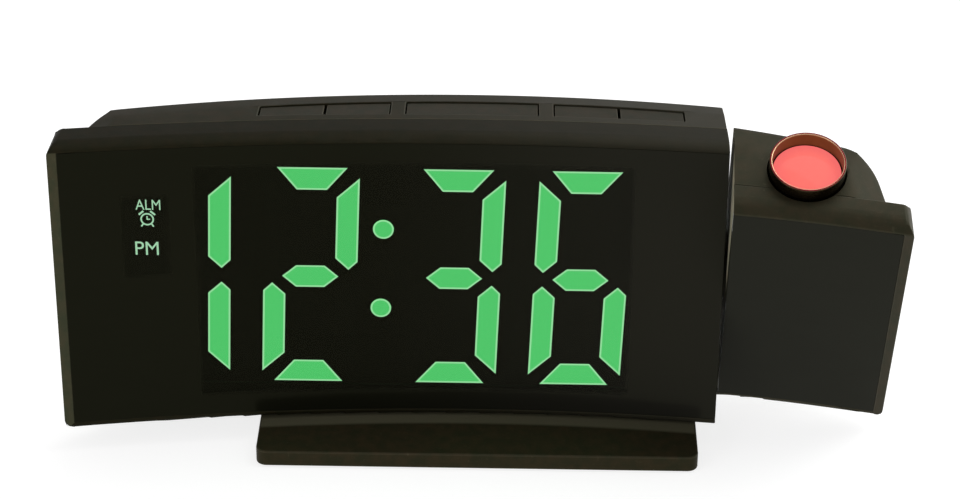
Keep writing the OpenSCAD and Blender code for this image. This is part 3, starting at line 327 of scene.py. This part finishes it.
# The rim's faces left of the window take the painted light.
window_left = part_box("display_window")[0].x
for face in front.data.polygons:
    if face.center.x < window_left and face.normal.y < -0.3 and face.normal.z < 0.5:
        face.material_index = 2
stands_for(front, "front_frame")
dressed("rear_housing", "rear_housing_moulding", "housing", shell_rounding,
        [shell_finish, shell_arris], whole_faces=False)


# Display window: a smoked acrylic sheet bent to the front and bonded into the frame. A darker
# print masks all but the figures and the legend; the outer face is polished and lightly wiped.
figures_low, figures_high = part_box("lit_segments")
legends_low, legends_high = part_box("legend_windows")
figures_clear, legends_clear = 0.38, 0.25
sheet_rounding = 0.00012


def smoked_sheet(name, tint, clear):
    """Polished, lightly wiped acrylic, opaque apart from what a clear sheet has to show."""
    sheet = Finish(name, {"Specular IOR Level": 0.05, "Specular Tint": (1, 1, 0.6, 1)})
    wiped = sheet.noise(0.012, 5, (1, 1, 3))
    specks = sheet.noise(0.0009, 2) > 0.77
    shade = sheet.mixed(specks * 0.2 + wiped * 0.25, tint, tinted(tint, 1.7))
    sheet.feed("Roughness", wiped * 0.08 + specks * 0.08 + 0.10)
    sheet.relief(sheet.noise(0.03, 2), 0.00003)
    if clear:
        # The sheet is painted paler toward the projector end, a painted light for the light falling
        # there.
        # Its clear areas reach past what they show, because it is looked through from above.
        shade = sheet.mixed(painted_light_gradient(sheet) * 0.42, shade, (0.022, 0.0205, 0.018))
        x, z = sheet.coordinate("X"), sheet.coordinate("Z")
        figures = sheet.between(x, figures_low.x, figures_high.x)
        figures = figures * sheet.between(z, figures_low.z + 0.0006, figures_high.z + 0.002)
        legends = sheet.between(x, legends_low.x, legends_high.x + 0.002)
        legends = legends * sheet.between(z, legends_low.z, legends_high.z + 0.004)
        sheet.feed("Alpha", 1 - figures * figures_clear - legends * legends_clear)
    sheet.feed("Base Color", shade)
    return sheet.material


window_finish = smoked_sheet("smoked_acrylic", (0.0048, 0.0050, 0.0028), True)
window_edge = smoked_sheet("smoked_acrylic_edge", (0.0075, 0.0075, 0.0050), False)
dressed("display_window", "display_window_sheet", "window", sheet_rounding,
        [window_finish, window_edge])


# Digit block: a black reflector moulding with one light well for each segment. The lit wells
# hold green diffusers with bright borders, strong enough to shine through the smoked window.
block_black = moulded_plastic("reflector_black", (0.0125, 0.0130, 0.0073), (0.0145, 0.0150, 0.0085),
                              roughness=0.55, grain=0.0004, relief=0.000003, shine=0.13, flecks=0)
dressed("digit_block", "digit_block_moulding", "digit_block", 0, [block_black])


def glowing(name, colour, strength, shimmer):
    light = Finish(name, {"Roughness": 0.4, "Specular IOR Level": 0.3, "Emission Strength": strength})
    grains = light.noise(0.0007, 3)
    shade = light.mixed(grains, colour, tinted(colour, 1 + shimmer))
    light.feed("Emission Color", shade)
    light.feed("Base Color", light.mixed(0.8, shade, (0, 0, 0)))
    light.relief(grains, 0.00001)
    return light.material


green_glow = glowing("green_diffuser", (0.078, 0.575, 0.146), 6.2, 0.12)
green_edge = glowing("green_diffuser_edge", (0.300, 0.730, 0.350), 6.4, 0.05)
bright_border = 0.00042


def lit_pieces(node, name):
    """Diffusers with a bright border inset on their front faces."""
    piece = merged_copy(node, name)
    piece.data.materials.append(green_glow)
    piece.data.materials.append(green_edge)
    front_plane = min(v.co.y for v in piece.data.vertices)

    def faces_front(face):
        return face.normal.y < -0.9 and abs(face.calc_center_median().y - front_plane) < 1e-4

    chosen(piece)
    bpy.ops.object.mode_set(mode="EDIT")
    bpy.ops.mesh.select_all(action="DESELECT")
    mesh = bmesh.from_edit_mesh(piece.data)
    for face in mesh.faces:
        if faces_front(face):
            face.select = True
    bmesh.update_edit_mesh(piece.data)
    bpy.ops.mesh.inset(thickness=bright_border, use_individual=True)
    mesh = bmesh.from_edit_mesh(piece.data)
    for face in mesh.faces:
        face.material_index = 1 if faces_front(face) and not face.select else 0
    bmesh.update_edit_mesh(piece.data)
    bpy.ops.object.mode_set(mode="OBJECT")
    return piece


stands_for(lit_pieces("lit_segments", "lit_segment_diffusers"), "lit_segments")
stands_for(lit_pieces("colon_dots", "colon_diffusers"), "colon_dots")
unlit_finish = moulded_plastic("unlit_diffuser", (0.0150, 0.0170, 0.0105), (0.0170, 0.0195, 0.0120),
                               roughness=0.45, grain=0.0003, relief=0.00001, shine=0.13, warmth=0.7)
dressed("dark_segments", "unlit_diffusers", "unlit", 0, [unlit_finish])
dressed("legend_windows", "legend_strips", "legend", 0, [unlit_finish])


# Legend: two words and an alarm sign, in pale films on the strips beside the first digit. They
# light up with the lamps behind them.
legend_glow = glowing("legend_print", (0.40, 0.72, 0.46), 13.0, 0.1)
strip_y = legends_low.y
film_t = 0.00004
text_depth = 0.04


def laid_on_strip(piece, name):
    piece.name = name
    piece.data.materials.clear()
    piece.data.materials.append(legend_glow)
    chosen(piece)
    bpy.ops.object.transform_apply(location=True, rotation=True, scale=True)
    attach(piece, "clock")
    deselected()


def lettering(words, name, left, right, low, high):
    """The words as a film that fills the given place."""
    deselected()
    bpy.ops.object.text_add(location=(0, 0, 0))
    piece = bpy.context.object
    piece.data.body = words
    piece.data.extrude = text_depth / 2
    bpy.ops.object.convert(target="MESH")
    bpy.ops.object.mode_set(mode="EDIT")
    bpy.ops.mesh.select_all(action="SELECT")
    bpy.ops.mesh.remove_doubles(threshold=1e-5)
    bpy.ops.object.mode_set(mode="OBJECT")
    x = [v.co.x for v in piece.data.vertices]
    y = [v.co.y for v in piece.data.vertices]
    wide, tall = (right - left) / (max(x) - min(x)), (high - low) / (max(y) - min(y))
    piece.rotation_euler = (math.radians(90), 0, 0)
    piece.scale = (wide, tall, film_t / text_depth)
    piece.location = (left - min(x) * wide, strip_y - film_t / 2, low - min(y) * tall)
    laid_on_strip(piece, name)


def alarm_sign(name, middle_x, middle_z, radius, stroke):
    """A round dial with two hands, a slanted bell at either side above it and two feet below."""
    deselected()
    upright = math.radians(90)
    bpy.ops.mesh.primitive_circle_add(vertices=32, radius=radius, fill_type="NGON",
                                      location=(middle_x, strip_y - film_t, middle_z),
                                      rotation=(upright, 0, 0))
    sign = bpy.context.object
    bpy.ops.object.mode_set(mode="EDIT")
    bpy.ops.mesh.select_all(action="SELECT")
    bpy.ops.mesh.inset(thickness=stroke)
    bpy.ops.mesh.delete(type="ONLY_FACE")
    bpy.ops.object.mode_set(mode="OBJECT")
    # Each bar goes from one x and z to the other, in dial radii, and has a width in strokes.
    bars = [(0, 0, 0, 0.42, 0.8), (0, 0, 0.34, 0, 0.8)]
    for side in (-1, 1):
        bars.append((side * 0.62, 1.22, side * 1.08, 0.82, 1.3))
        bars.append((side * 0.70, -0.88, side * 0.84, -1.10, 1))
    made = [sign]
    for x0, z0, x1, z1, width in bars:
        bpy.ops.mesh.primitive_plane_add(size=1, location=(
            middle_x + radius * (x0 + x1) / 2, strip_y - film_t, middle_z + radius * (z0 + z1) / 2))
        bar = bpy.context.object
        bar.scale = (radius * math.hypot(x1 - x0, z1 - z0) + stroke * width, stroke * width, 1)
        bar.rotation_euler = (upright, -math.atan2(z1 - z0, x1 - x0), 0)
        made.append(bar)
    deselected()
    for part in made:
        part.select_set(True)
    bpy.context.view_layer.objects.active = sign
    bpy.ops.object.join()
    bpy.ops.object.transform_apply(location=True, rotation=True, scale=True)
    solid = sign.modifiers.new("film", "SOLIDIFY")
    solid.thickness, solid.offset = film_t, -1
    bpy.ops.object.modifier_apply(modifier="film")
    laid_on_strip(sign, name)


lettering("ALM", "legend_alarm_time", left=-0.08095, right=-0.07511, low=0.05855, high=0.06116)
lettering("PM", "legend_afternoon", left=-0.0815, right=-0.0760, low=0.04678, high=0.05023)
alarm_sign("legend_alarm_sign", -0.07835, 0.0561, radius=0.00160, stroke=0.00036)


# Circuit boards: green glass-epoxy laminate, screwed to the frame and the housing. The chip,
# sounder and lead plug are soldered to the display board's back.
def solder_mask(name):
    board = Finish(name, {"Specular IOR Level": 0.5})
    tracks_per_metre, wander = 390, 2.0
    weave = board.noise(0.0006) * 0.5 + board.noise(0.004, 3) * 0.5
    rows = board.coordinate("Z") * tracks_per_metre + board.noise(0.02, 1) * wander
    tracks = board.node("ShaderNodeMath", {"operation": "FRACT"}, {0: rows}) > 0.62
    tracks = tracks * (board.noise(0.009, 1, (0.3, 1, 1)) > 0.5)
    shade = board.mixed(weave, (0.010, 0.085, 0.038), (0.016, 0.115, 0.052))
    board.feed("Base Color", board.mixed(tracks * 0.6, shade, (0.03, 0.17, 0.075)))
    board.feed("Roughness", weave * 0.2 + 0.22)
    board.relief(tracks + weave * 0.3, 0.00003)
    return board.material


def plated_metal(name, colour, roughness, lay):
    metal = Finish(name, {"Metallic": 1.0})
    drawn = metal.noise(0.0004, 4, lay)
    tarnish = metal.noise(0.0025, 4)
    metal.feed("Base Color", metal.mixed(tarnish * 0.5, colour, tinted(colour, 0.6)))
    metal.feed("Roughness", drawn * 0.18 + tarnish * 0.12 + (roughness - 0.15))
    metal.relief(drawn, 0.000004)
    return metal.material


def painted(finish, *nodes):
    """Gives carried-over CAD nodes their finish."""
    for node in nodes:
        for slot in frame["nodes"][node].material_slots:
            slot.material = finish


epoxy_black = moulded_plastic("epoxy_black", (0.012, 0.012, 0.012), (0.016, 0.016, 0.016),
                              roughness=0.55, grain=0.0002, relief=0.00001, shine=0.4)
nylon_white = moulded_plastic("nylon_white", (0.62, 0.60, 0.54), (0.70, 0.68, 0.62),
                              roughness=0.42, grain=0.0004, relief=0.00001, shine=0.5)
zinc = plated_metal("zinc_plate", (0.56, 0.57, 0.58), 0.34, (1, 3, 1))
painted(solder_mask("solder_mask_green"), "display_board", "button_board", "lamp_board")
painted(epoxy_black, "control_chip", "sounder", "switch_bodies")
painted(nylon_white, "lead_connector", "lamp_connector")
painted(zinc, "display_board_screws", "button_board_screws")


# Buttons: five satin caps let into the top, each pressing a tact switch on its own board. Their
# tops are a little smoother than the housing from being pressed, and lie just below it.
cap_finish = moulded_plastic("button_satin", (0.0165, 0.0152, 0.0108), (0.0195, 0.0176, 0.0128),
                             roughness=0.46, grain=0.00026, relief=0.000014, shine=0.13)
# Paler arrises: partly rubbed, partly a painted highlight.
cap_arris = moulded_plastic("button_rubbed_and_painted_highlight", (0.030, 0.028, 0.020), (0.034, 0.031, 0.022),
                            roughness=0.36, grain=0.0003, relief=0.000006, shine=0.22)
plunger_finish = moulded_plastic("plunger_black", (0.010, 0.010, 0.010), (0.014, 0.014, 0.013),
                                 roughness=0.40, grain=0.0003, relief=0.000006, shine=0.5)
cap_rounding, crown, recess = 0.00022, 0.0005, 0.0007
for button in ("time", "alarm", "snooze", "down", "up"):
    cap = softened(button + "_button", button + "_cap", cap_rounding, [cap_finish, cap_arris], steps=3)
    top = max(v.co.z for v in cap.data.vertices)
    for point in cap.data.vertices:
        if point.co.z > top - crown:
            point.co.z -= recess
    stands_for(cap, button + "_button")
    painted(plunger_finish, button + "_plunger")


# Pivot: a nylon bush snapped into the clock's end wall, and the projector's hollow shaft through
# it. A wave washer and a spring clip give the turn its drag, and the lamp's lead runs inside.
bush_finish = moulded_plastic("bush_acetal", (0.035, 0.033, 0.028), (0.045, 0.042, 0.036),
                              roughness=0.36, grain=0.0004, relief=0.000008, shine=0.3)
fine_rounding = 0.00015
dressed("pivot_bush", "pivot_bush_moulding", "bush", fine_rounding, [bush_finish])
dressed("pivot_shaft", "pivot_shaft_moulding", "pivot", fine_rounding, [cap_finish, cap_arris])
painted(cap_finish, "pivot_retainer")
painted(plated_metal("spring_steel", (0.42, 0.42, 0.43), 0.3, (4, 1, 1)), "friction_washer")
painted(plated_metal("phosphated_steel", (0.12, 0.12, 0.125), 0.42, (1, 2, 2)), "retaining_clip")


def lead_sleeve(name, colour):
    sleeve = Finish(name, {"Specular IOR Level": 0.5})
    drawn = sleeve.noise(0.0008, 3, (1, 1, 0.2))
    sleeve.feed("Base Color", sleeve.mixed(drawn, colour, tinted(colour, 0.7)))
    sleeve.feed("Roughness", drawn * 0.15 + 0.35)
    sleeve.relief(drawn, 0.00002)
    return sleeve.material


painted(lead_sleeve("lead_red", (0.26, 0.014, 0.010)), "pivot_lead", "projector_lead")


# Battery: a coin cell on a spring in its tray, under a door held by one screw. The cell is
# bright nickel, and its contacts are gold-flashed bronze.
nickel = plated_metal("cell_nickel", (0.62, 0.61, 0.58), 0.26, (1, 1, 1))
gold_flash = plated_metal("gold_flash", (0.72, 0.50, 0.16), 0.28, (1, 1, 3))
painted(nickel, "coin_cell")
painted(gold_flash, "cell_spring", "cell_side_contact")
dressed("battery_door", "battery_door_moulding", "housing", fine_rounding, [shell_finish, shell_arris])


# Power inlet: a glossy black jack with a bright centre pin, in its own opening low in the back
# of the rear housing.
inlet_black = moulded_plastic("inlet_black", (0.009, 0.009, 0.009), (0.012, 0.012, 0.012),
                              roughness=0.30, grain=0.0005, relief=0.000005, shine=0.5)
dressed("power_inlet", "power_inlet_body", "chip", 0.0002, [inlet_black])
painted(nickel, "power_inlet_pin")


# Stand: a low moulded foot with a fall to its front and back, screwed up into the housing. A
# plate closes it below, and a soft pad keeps it from sliding.
# The stand's top is painted paler along the foot of the clock's front: a painted highlight for the light
# on its neck there.
stand_finish = moulded_plastic("stand_black", (0.0200, 0.0178, 0.0098), (0.0235, 0.0205, 0.0116),
                               roughness=0.48, grain=0.00022, relief=0.000020, shine=0.06, painted_highlight_band=0.8)
# Paler arrises: partly rubbed, partly a painted highlight.
stand_arris = moulded_plastic("stand_rubbed_and_painted_highlight", (0.028, 0.025, 0.016), (0.031, 0.028, 0.018),
                              roughness=0.36, grain=0.0003, relief=0.000006, shine=0.12)
dressed("stand_base", "stand_moulding", "stand", 0.0004, [stand_finish, stand_arris], steps=3)
painted(stand_finish, "stand_plate")


def foam_rubber(name, cell_size):
    rubber = Finish(name, {"Specular IOR Level": 0.3})
    cells = rubber.node("ShaderNodeTexVoronoi", {},
                        {"Vector": rubber.place, "Scale": 1 / cell_size}, "Distance")
    rubber.feed("Base Color", rubber.mixed(cells, (0.008, 0.008, 0.007), (0.020, 0.019, 0.017)))
    rubber.feed("Roughness", cells * 0.2 + 0.7)
    rubber.relief(cells, 0.0001)
    return rubber.material


painted(foam_rubber("foot_rubber", cell_size=1 / 1400), "foot_pad")


# Screws: zinc-plated, in the housings' tubes, the stand and the door. Their heads lie deep in the
# tubes and flush in the door.
for node in ("housing_screws", "projector_screws", "stand_screws"):
    dressed(node, node + "_turned", "screws", 0.00012, [zinc])
dressed("battery_door_screw", "battery_door_screw_turned", "screws", 0.00005, [zinc])


# Projector: two more mouldings on the pivot, closed in front by a smoked panel. The end beside
# the clock is bare and painted much paler: painted light from the left falling on it.
projector_finish = moulded_plastic("projector_black", (0.0190, 0.0172, 0.0108),
                                   (0.0225, 0.0200, 0.0130),
                                   roughness=0.50, grain=0.00022, relief=0.000022, shine=0.14)
end_painted_light = moulded_plastic("end_face_painted_light", (0.270, 0.262, 0.200), (0.300, 0.290, 0.225),
                             roughness=0.55, grain=0.0003, relief=0.00001, shine=0.1)
joints = {joint["name"]: joint for joint in frame["joints"]}
pivot_point = Vector(joints["projector_tilt"]["pos_m"])
pivot_axis = Vector(joints["projector_tilt"]["axis"])
end_skin = 0.0003
# The end wall leans toward the clock from its front to its back.
lean, lean_start, lean_run = 0.00045, -0.004, 0.018
for node in ("projector_front_frame", "projector_rear_housing"):
    shell = softened(node, node + "_moulding", shell_rounding, [projector_finish, shell_arris],
                     whole_faces=False)
    shell.data.materials.append(end_painted_light)
    # The end face toward the clock takes the painted light.
    end = min((v.co - pivot_point).dot(pivot_axis) for v in shell.data.vertices) + end_skin
    for face in shell.data.polygons:
        if face.normal.dot(pivot_axis) < -0.98 and (face.center - pivot_point).dot(pivot_axis) < end:
            face.material_index = 2
    for point in shell.data.vertices:
        if (point.co - pivot_point).dot(pivot_axis) < end:
            point.co -= lean * min(1, max(0, (point.co.y - lean_start) / lean_run)) * pivot_axis
    stands_for(shell, node)
panel_finish = smoked_sheet("smoked_panel", (0.0090, 0.0092, 0.0066), False)
dressed("projector_panel", "projector_panel_sheet", "panel", sheet_rounding,
        [panel_finish, window_edge])


# Projection optics: a black tube over the lamp, a condenser, a slide with the figures, and the
# lens. The lens glows with the red light that leaves it, brightest in its middle.
tube_black = moulded_plastic("optics_black", (0.006, 0.006, 0.006), (0.008, 0.008, 0.008),
                             roughness=0.6, grain=0.0003, relief=0.00001, shine=0.3)
painted(tube_black, "optics_tube", "lens_cell")
painted(epoxy_black, "image_slide")
painted(glowing("lamp_red", (0.95, 0.10, 0.06), 3.0, 0.1), "projection_lamp")


def clear_moulding(name):
    clear = Finish(name, {"Transmission Weight": 0.9, "IOR": 1.49})
    haze = clear.noise(0.002, 3)
    clear.feed("Base Color", clear.mixed(haze, (0.9, 0.93, 0.95), (0.8, 0.86, 0.9)))
    clear.feed("Roughness", haze * 0.06 + 0.03)
    clear.relief(haze, 0.00001)
    return clear.material


painted(clear_moulding("condenser_acrylic"), "condenser_lens")
lens_low, lens_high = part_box("projection_lens")
lens_middle = (lens_low + lens_high) / 2


def lit_lens(name, bright_r, dim_r):
    """Glass that glows in one red within bright_r of its middle, and in a deeper one past dim_r."""
    glass = Finish(name, {"Specular IOR Level": 0.05, "Emission Strength": 1.0})
    away = glass.vector("DISTANCE", glass.place, tuple(lens_middle), "Value")
    haze = glass.noise(0.0016, 3)
    glow = glass.mixed(glass.spread(away, bright_r, dim_r), (0.95, 0.170, 0.145), (0.86, 0.140, 0.140))
    glow = glass.mixed(haze * 0.25, glow, (1.0, 0.22, 0.19))
    glass.feed("Emission Color", glow)
    glass.feed("Base Color", glass.mixed(0.92, glow, (0.02, 0.0, 0.0)))
    glass.feed("Roughness", haze * 0.08 + 0.06)
    glass.relief(haze, 0.000005)
    return glass.material


dressed("projection_lens", "projection_lens_glass", "lenses", 0,
        [lit_lens("lens_lit_red", bright_r=0.0045, dim_r=0.0080)])


# Focus ring: a dark bronze-tinted ring that turns in the tube and screws the lens up and down.
# Its bore is plated, its flat rim is painted dark red for the lens's red light falling on it, and its
# inner arris is rubbed to bare metal.
def tinted_ring(name, colour, roughness):
    ring = Finish(name, {"Metallic": 1.0})
    turned_lines = ring.noise(0.0003, 3, (0.4, 0.4, 3))
    worn = ring.noise(0.003, 4)
    ring.feed("Base Color", ring.mixed(worn, colour, tinted(colour, 1.6)))
    ring.feed("Roughness", turned_lines * 0.14 + worn * 0.1 + (roughness - 0.12))
    ring.relief(turned_lines, 0.000006)
    return ring.material


wall, arris, bore, rim = range(4)
ring = softened("focus_ring", "focus_ring_turned", 0.00018,
                [tinted_ring("ring_bronze", (0.040, 0.028, 0.014), 0.26),
                 tinted_ring("ring_bare_arris", (0.42, 0.31, 0.18), 0.30)], steps=3)
ring.data.materials.append(tinted_ring("ring_plated_bore", (0.130, 0.150, 0.055), 0.34))
# The flat rim's dark red is painted light from the lens.
ring.data.materials.append(tinted_ring("ring_rim_painted_red_light", (0.075, 0.0025, 0.008), 0.30))
lens_axis = Vector(joints["focus_turn"]["axis"])
for face in ring.data.polygons:
    out = face.center - lens_middle
    out = (out - out.dot(lens_axis) * lens_axis).normalized()
    outward, upright = face.normal.dot(out), face.normal.dot(lens_axis)
    if face.material_index == arris:
        face.material_index = arris if outward < 0 and upright > 0 else wall
    elif outward < -0.5:
        face.material_index = bore
    elif upright > 0.7:
        face.material_index = rim
stands_for(ring, "focus_ring")


# The room: a plain pale floor with soft lights, the strongest to the right and behind. The floor
# glows a little, so that it stays white where the clock's shadow is thin.
deselected()
bpy.ops.mesh.primitive_plane_add(size=8, location=(0, 0, 0))
floor = bpy.context.object
floor.name = "floor"
paper = Finish("floor_paper", {"Specular IOR Level": 0.1, "Emission Strength": 0.8})
fibre = paper.noise(0.0008, 3)
paper.feed("Base Color", paper.mixed(fibre, (0.34, 0.34, 0.34), (0.38, 0.38, 0.38)))
paper.feed("Emission Color", paper.mixed(fibre, (0.98, 0.98, 0.98), (1.0, 1.0, 1.0)))
paper.feed("Roughness", fibre * 0.1 + 0.8)
paper.relief(fibre, 0.00001)
floor.data.materials.append(paper.material)
world = bpy.data.worlds.new("room")
bpy.context.scene.world = world
world.use_nodes = True
daylight = world.node_tree.nodes["Background"].inputs
daylight["Color"].default_value = (1, 1, 1, 1)
daylight["Strength"].default_value = 0.45


def soft_light(name, place, target, size, watts):
    lamp = bpy.data.lights.new(name, "AREA")
    lamp.shape, lamp.size, lamp.size_y, lamp.energy = "RECTANGLE", size[0], size[1], watts
    box = bpy.data.objects.new(name, lamp)
    bpy.context.scene.collection.objects.link(box)
    box.location = place
    box.rotation_euler = (Vector(target) - Vector(place)).to_track_quat("-Z", "Y").to_euler()


soft_light("overhead", (0.40, 0.35, 1.0), (0.04, 0, 0.04), (1.1, 0.9), 8)
soft_light("right_side", (0.9, 0.4, 0.4), (0.05, 0, 0.05), (0.8, 0.7), 7)
soft_light("left_front", (-0.75, -0.75, 0.3), (0.05, 0, 0.05), (0.5, 0.4), 2.5)
